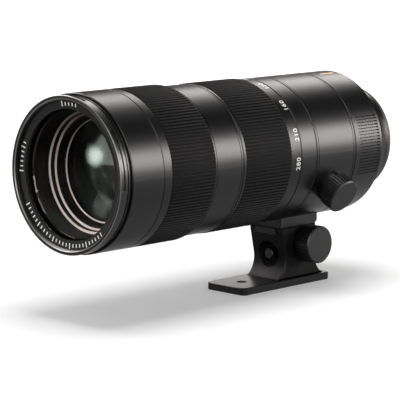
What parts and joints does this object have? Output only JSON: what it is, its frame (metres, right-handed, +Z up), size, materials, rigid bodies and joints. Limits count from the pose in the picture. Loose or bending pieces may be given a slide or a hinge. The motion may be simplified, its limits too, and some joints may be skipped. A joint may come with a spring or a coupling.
{
  "type": "camera zoom lens",
  "caption": "Long constant-length zoom lens with two ribbed grips, a focal-length scale, a turning tripod collar with a quick-release foot, and a bayonet at the back.",
  "frame": {"origin": "where the optical axis meets the bayonet flange", "axes": "+Y along the optical axis towards the camera, +Z up, +X to the side of the foot knob"},
  "size_m": [0.0969, 0.2426, 0.1257],
  "materials": {
    "satin_metal": "satin",
    "inner_metal": "matte",
    "grip_rubber": "matte",
    "lens_glass": "gloss",
    "foot_metal": "satin",
    "black_brass": "matte",
    "blade_steel": "matte",
    "steel": "satin",
    "motor_can": "satin",
    "mount_chrome": "satin",
    "contact_gold": "polished",
    "black_plastic": "matte",
    "board": "satin"
  },
  "bodies": {
    "lens_body": {"front_ring": "satin_metal", "name_ring": "satin_metal", "front_cell": "inner_metal", "front_element": "lens_glass", "second_element": "lens_glass", "front_retainer": "inner_metal", "front_barrel": "satin_metal", "front_trim_ring": "satin_metal", "main_tube": "inner_metal", "middle_barrel": "satin_metal", "guide_tube": "inner_metal", "iris_base": "inner_metal", "iris_cap": "inner_metal", "focus_rods": "steel", "focus_motor": "motor_can", "rear_cell": "black_brass", "rear_element": "lens_glass", "circuit_board": "board", "index_ring": "satin_metal", "rear_barrel": "satin_metal", "rear_cone": "satin_metal", "bayonet_plate": "mount_chrome", "bayonet_screws": "steel", "weather_seal": "grip_rubber", "rear_baffle": "inner_metal", "contact_block": "black_plastic", "contact_pins": "contact_gold"},
    "focus_ring_body": {"focus_ring": "satin_metal", "focus_grip": "grip_rubber"},
    "zoom_ring_body": {"zoom_ring": "satin_metal", "zoom_grip": "grip_rubber", "drive_key": "steel", "cam_tube": "inner_metal"},
    "variator_body": {"variator_cell": "inner_metal", "variator_element": "lens_glass", "variator_rollers": "steel"},
    "compensator_body": {"compensator_cell": "inner_metal", "compensator_element": "lens_glass", "compensator_rollers": "steel"},
    "iris_ring_body": {"iris_ring": "inner_metal"},
    "focus_carriage": {"focus_cell": "inner_metal", "focus_element": "lens_glass"},
    "lead_screw_body": {"lead_screw": "steel"},
    "collar_body": {"tripod_collar": "satin_metal"},
    "collar_knob_body": {"collar_knob": "satin_metal"},
    "clamp_shoe_body": {"clamp_shoe": "black_plastic"},
    "foot_body": {"foot_block": "foot_metal", "foot_plate": "foot_metal", "plate_screws": "steel", "release_spring": "steel"},
    "foot_knob_body": {"foot_knob": "satin_metal"},
    "clamp_jaw_body": {"clamp_jaw": "satin_metal"},
    "button_body": {"release_button": "satin_metal"},
    "blade_1_body": {"iris_blade_1": "blade_steel"},
    "blade_2_body": {"iris_blade_2": "blade_steel"},
    "blade_3_body": {"iris_blade_3": "blade_steel"},
    "blade_4_body": {"iris_blade_4": "blade_steel"},
    "blade_5_body": {"iris_blade_5": "blade_steel"},
    "blade_6_body": {"iris_blade_6": "blade_steel"},
    "blade_7_body": {"iris_blade_7": "blade_steel"}
  },
  "joints": [
    {"name": "focus_turn", "type": "hinge", "parent": "lens_body", "child": "focus_ring_body", "pos_m": [0, -0.183, 0], "axis": [0, 1, 0], "continuous": true},
    {"name": "zoom_turn", "type": "hinge", "parent": "lens_body", "child": "zoom_ring_body", "pos_m": [0, -0.12, 0], "axis": [0, -1, 0], "range_deg": [0, 94.4]},
    {"name": "variator_slide", "type": "slide", "parent": "lens_body", "child": "variator_body", "axis": [0, 1, 0], "range_m": [0, 0.04]},
    {"name": "compensator_slide", "type": "slide", "parent": "lens_body", "child": "compensator_body", "axis": [0, -1, 0], "range_m": [0, 0.014]},
    {"name": "iris_turn", "type": "hinge", "parent": "lens_body", "child": "iris_ring_body", "pos_m": [0, -0.0885, 0], "axis": [0, 1, 0], "range_deg": [0, 7.42]},
    {"name": "focus_slide", "type": "slide", "parent": "lens_body", "child": "focus_carriage", "axis": [0, 1, 0], "range_m": [0, 0.008]},
    {"name": "lead_screw_turn", "type": "hinge", "parent": "lens_body", "child": "lead_screw_body", "pos_m": [0, -0.06, -0.0295], "axis": [0, 1, 0], "range_deg": [0, 270]},
    {"name": "collar_turn", "type": "hinge", "parent": "lens_body", "child": "collar_body", "pos_m": [0, -0.0632, 0], "axis": [0, 1, 0], "continuous": true},
    {"name": "collar_knob_turn", "type": "hinge", "parent": "collar_body", "child": "collar_knob_body", "pos_m": [0.03952, -0.0632, -0.02066], "axis": [0.8862, 0, -0.4633], "range_deg": [0, 270]},
    {"name": "clamp_shoe_slide", "type": "slide", "parent": "collar_body", "child": "clamp_shoe_body", "axis": [0.8862, 0, -0.4633], "range_m": [0, 0.0006]},
    {"name": "foot_slide", "type": "slide", "parent": "collar_body", "child": "foot_body", "axis": [0, -1, 0], "range_m": [0, 0.034]},
    {"name": "foot_knob_turn", "type": "hinge", "parent": "foot_body", "child": "foot_knob_body", "pos_m": [0.0144, -0.0565, -0.0572], "axis": [1, 0, 0], "range_deg": [0, 360]},
    {"name": "clamp_jaw_slide", "type": "slide", "parent": "foot_body", "child": "clamp_jaw_body", "axis": [1, 0, 0], "range_m": [0, 0.0008]},
    {"name": "release_press", "type": "slide", "parent": "foot_body", "child": "button_body", "axis": [0, 1, 0], "range_m": [0, 0.002], "stiffness_N_per_m": 1500, "springref_m": -0.001, "deforming": ["release_spring"]},
    {"name": "blade_1_swing", "type": "hinge", "parent": "lens_body", "child": "blade_1_body", "pos_m": [0, -0.0897, 0.026], "axis": [0, 1, 0], "range_deg": [0, 40]},
    {"name": "blade_2_swing", "type": "hinge", "parent": "lens_body", "child": "blade_2_body", "pos_m": [0.02033, -0.0897, 0.01621], "axis": [0, 1, 0], "range_deg": [0, 40]},
    {"name": "blade_3_swing", "type": "hinge", "parent": "lens_body", "child": "blade_3_body", "pos_m": [0.02535, -0.0897, -0.00579], "axis": [0, 1, 0], "range_deg": [0, 40]},
    {"name": "blade_4_swing", "type": "hinge", "parent": "lens_body", "child": "blade_4_body", "pos_m": [0.01128, -0.0897, -0.02343], "axis": [0, 1, 0], "range_deg": [0, 40]},
    {"name": "blade_5_swing", "type": "hinge", "parent": "lens_body", "child": "blade_5_body", "pos_m": [-0.01128, -0.0897, -0.02343], "axis": [0, 1, 0], "range_deg": [0, 40]},
    {"name": "blade_6_swing", "type": "hinge", "parent": "lens_body", "child": "blade_6_body", "pos_m": [-0.02535, -0.0897, -0.00579], "axis": [0, 1, 0], "range_deg": [0, 40]},
    {"name": "blade_7_swing", "type": "hinge", "parent": "lens_body", "child": "blade_7_body", "pos_m": [-0.02033, -0.0897, 0.01621], "axis": [0, 1, 0], "range_deg": [0, 40]}
  ],
  "couplings": [
    {"joint": "variator_slide", "follows": "zoom_turn", "m_per_rad": 0.024278},
    {"joint": "compensator_slide", "follows": "zoom_turn", "m_per_rad": 0.0084973},
    {"joint": "lead_screw_turn", "follows": "focus_slide", "rad_per_m": 589.04},
    {"joint": "clamp_shoe_slide", "follows": "collar_knob_turn", "m_per_rad": 0.00012732},
    {"joint": "clamp_jaw_slide", "follows": "foot_knob_turn", "m_per_rad": 0.00012732},
    {"joint": "blade_1_swing", "follows": "iris_turn", "ratio": 5.3887},
    {"joint": "blade_2_swing", "follows": "iris_turn", "ratio": 5.3887},
    {"joint": "blade_3_swing", "follows": "iris_turn", "ratio": 5.3887},
    {"joint": "blade_4_swing", "follows": "iris_turn", "ratio": 5.3887},
    {"joint": "blade_5_swing", "follows": "iris_turn", "ratio": 5.3887},
    {"joint": "blade_6_swing", "follows": "iris_turn", "ratio": 5.3887},
    {"joint": "blade_7_swing", "follows": "iris_turn", "ratio": 5.3887}
  ]
}
